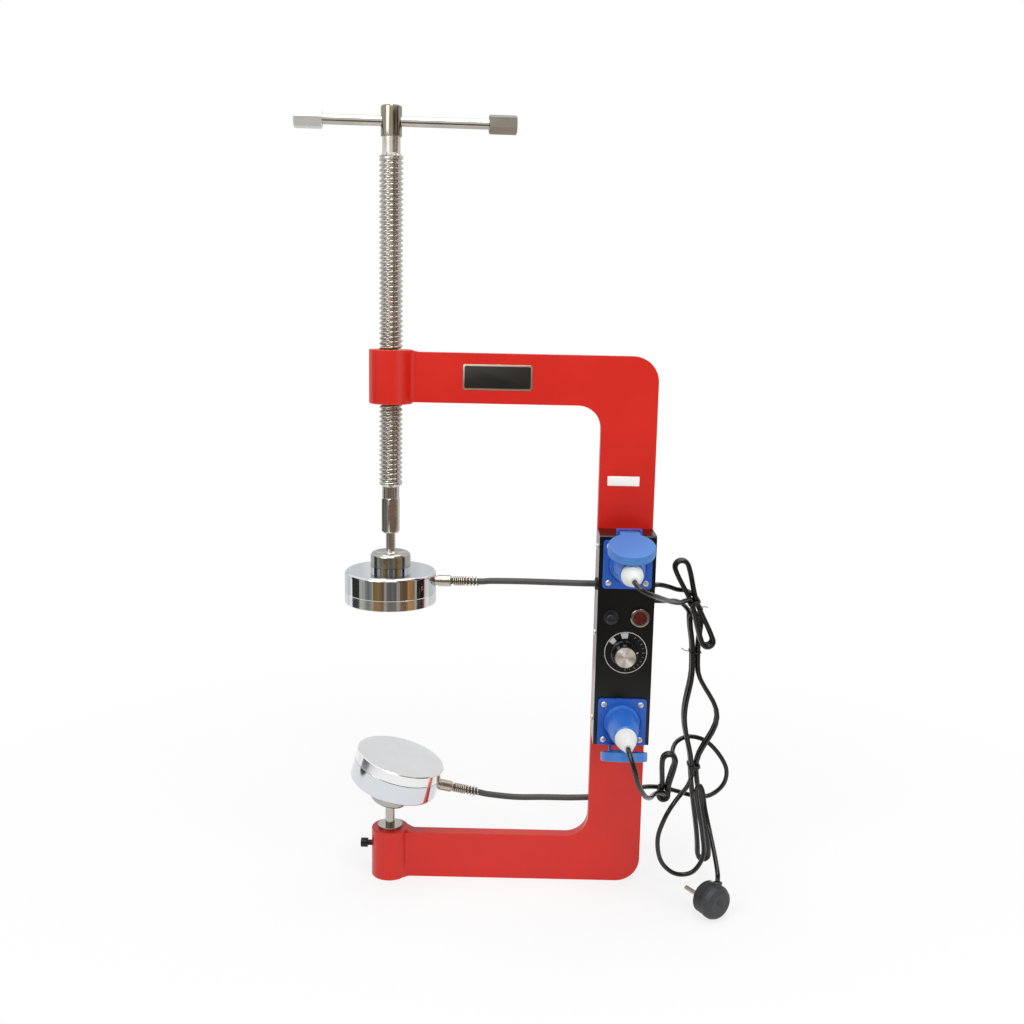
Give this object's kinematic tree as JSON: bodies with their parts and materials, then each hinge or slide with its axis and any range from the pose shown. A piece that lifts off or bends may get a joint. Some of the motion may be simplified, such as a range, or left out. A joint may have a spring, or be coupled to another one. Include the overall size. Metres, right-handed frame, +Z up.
{
  "type": "tire vulcanizer",
  "caption": "Upright C-frame screw press with round electric heating pads on ball joints, a timer box on its column, plug-in leads and tied cords, for curing tyre and tube patches.",
  "frame": {"origin": "where the spindle axis meets the underside of the lower boss, which stands on the table", "axes": "+Z up along the spindle, +X from the spindle towards the column, -Y to the front with the control box"},
  "size_m": [0.4703, 0.1894, 0.812],
  "materials": {
    "red_paint": "glossy red paint over the casting",
    "bronze": "turned bronze",
    "nickel_steel": "nickel plated steel",
    "chromed_housing": "polished chrome plating",
    "plate_aluminium": "turned aluminium, matt face",
    "heating_element": "mica and wire element",
    "insulation": "mineral fibre sheet",
    "gland_nickel": "nickel plated brass",
    "black_steel": "blackened steel",
    "black_paint": "glossy black paint on sheet steel",
    "zinc_sheet": "zinc plated sheet steel",
    "blue_plastic": "moulded blue plastic",
    "light_blue_plastic": "moulded blue plastic",
    "white_plastic": "moulded white plastic",
    "black_plastic": "moulded black plastic",
    "red_lens": "clear red plastic",
    "black_rubber": "rubber sleeve and grommets",
    "cord_rubber": "rubber covered cord"
  },
  "bodies": {
    "frame": {"c_frame": "red_paint", "spindle_nut": "bronze", "lower_stem": "nickel_steel", "stem_washer": "nickel_steel", "upper_lid_pin": "nickel_steel", "lower_lid_pin": "nickel_steel", "lamp_bezel": "gland_nickel", "box_cover": "black_paint", "box_chassis": "zinc_sheet", "upper_socket": "blue_plastic", "lower_socket": "blue_plastic", "upper_plug": "blue_plastic", "lower_plug": "blue_plastic", "upper_boot": "white_plastic", "lower_boot": "white_plastic", "fuse_holder": "black_plastic", "timer_body": "black_plastic", "mains_plug": "black_plastic", "lamp_lens": "red_lens", "sleeve_grommet": "black_rubber", "lead_grommet": "black_rubber", "mains_grommet": "black_rubber", "upper_sleeve": "black_rubber", "lower_sleeve": "black_rubber", "upper_lead_box": "cord_rubber", "upper_hank": "cord_rubber", "upper_lead_plug": "cord_rubber", "lower_lead_column": "cord_rubber", "lower_hank": "cord_rubber", "lower_lead_plug": "cord_rubber", "mains_cord_box": "cord_rubber", "mains_hank": "cord_rubber", "mains_cord_plug": "cord_rubber"},
    "carriage": {"swivel_ball": "nickel_steel"},
    "spindle": {"spindle": "nickel_steel"},
    "bar": {"tommy_bar": "nickel_steel", "bar_cap_left": "nickel_steel", "bar_cap_right": "nickel_steel"},
    "upper_heater": {"upper_housing": "chromed_housing", "upper_plate": "plate_aluminium", "upper_element": "heating_element", "upper_insulation": "insulation", "upper_ring_nut": "chromed_housing", "upper_gland": "gland_nickel", "upper_gland_spring": "gland_nickel"},
    "lower_heater": {"lower_housing": "chromed_housing", "lower_plate": "plate_aluminium", "lower_element": "heating_element", "lower_insulation": "insulation", "lower_ring_nut": "chromed_housing", "lower_gland": "gland_nickel", "lower_gland_spring": "gland_nickel"},
    "lock_screw": {"lock_screw": "black_steel"},
    "upper_lid": {"upper_lid": "light_blue_plastic"},
    "lower_lid": {"lower_lid": "light_blue_plastic"},
    "knob": {"knob": "black_plastic", "knob_cap": "plate_aluminium"},
    "fuse_cap": {"fuse_cap": "black_plastic"}
  },
  "joints": [
    {"name": "press_slide", "type": "slide", "parent": "frame", "child": "carriage", "axis": [0, 0, 1], "range_m": [-0.15, 0.085], "deforming": ["upper_sleeve"]},
    {"name": "spindle_turn", "type": "hinge", "parent": "carriage", "child": "spindle", "pos_m": [0, 0, 0.5], "axis": [0, 0, 1], "range_deg": [-10800, 6120]},
    {"name": "bar_slide", "type": "slide", "parent": "spindle", "child": "bar", "axis": [0.9962, 0.0872, 0], "range_m": [-0.0855, 0.0565]},
    {"name": "upper_tilt", "type": "hinge", "parent": "carriage", "child": "upper_heater", "pos_m": [0, 0, 0.3545], "axis": [1, 0, 0], "range_deg": [-12, 12], "deforming": ["upper_sleeve"]},
    {"name": "lower_tilt", "type": "hinge", "parent": "frame", "child": "lower_heater", "pos_m": [0, 0, 0.093], "axis": [0.0698, 0.9976, 0], "range_deg": [-31, 0], "deforming": ["lower_sleeve"]},
    {"name": "lock_turn", "type": "hinge", "parent": "frame", "child": "lock_screw", "pos_m": [-0.026, 0, 0.035], "axis": [1, 0, 0], "range_deg": [-360, 0]},
    {"name": "upper_lid_hinge", "type": "hinge", "parent": "frame", "child": "upper_lid", "pos_m": [0.24525, -0.0515, 0.3965], "axis": [-1, 0, 0], "range_deg": [0, 39]},
    {"name": "lower_lid_hinge", "type": "hinge", "parent": "frame", "child": "lower_lid", "pos_m": [0.24525, -0.0515, 0.1655], "axis": [1, 0, 0], "range_deg": [0, 39]},
    {"name": "knob_turn", "type": "hinge", "parent": "frame", "child": "knob", "pos_m": [0.24525, -0.0525, 0.271], "axis": [0, -1, 0], "range_deg": [-210, 68]},
    {"name": "fuse_cap_turn", "type": "hinge", "parent": "frame", "child": "fuse_cap", "pos_m": [0.23025, -0.0525, 0.309], "axis": [0, -1, 0], "range_deg": [0, 45]}
  ],
  "couplings": [
    {"joint": "press_slide", "follows": "spindle_turn", "m_per_rad": 0.00079577}
  ]
}
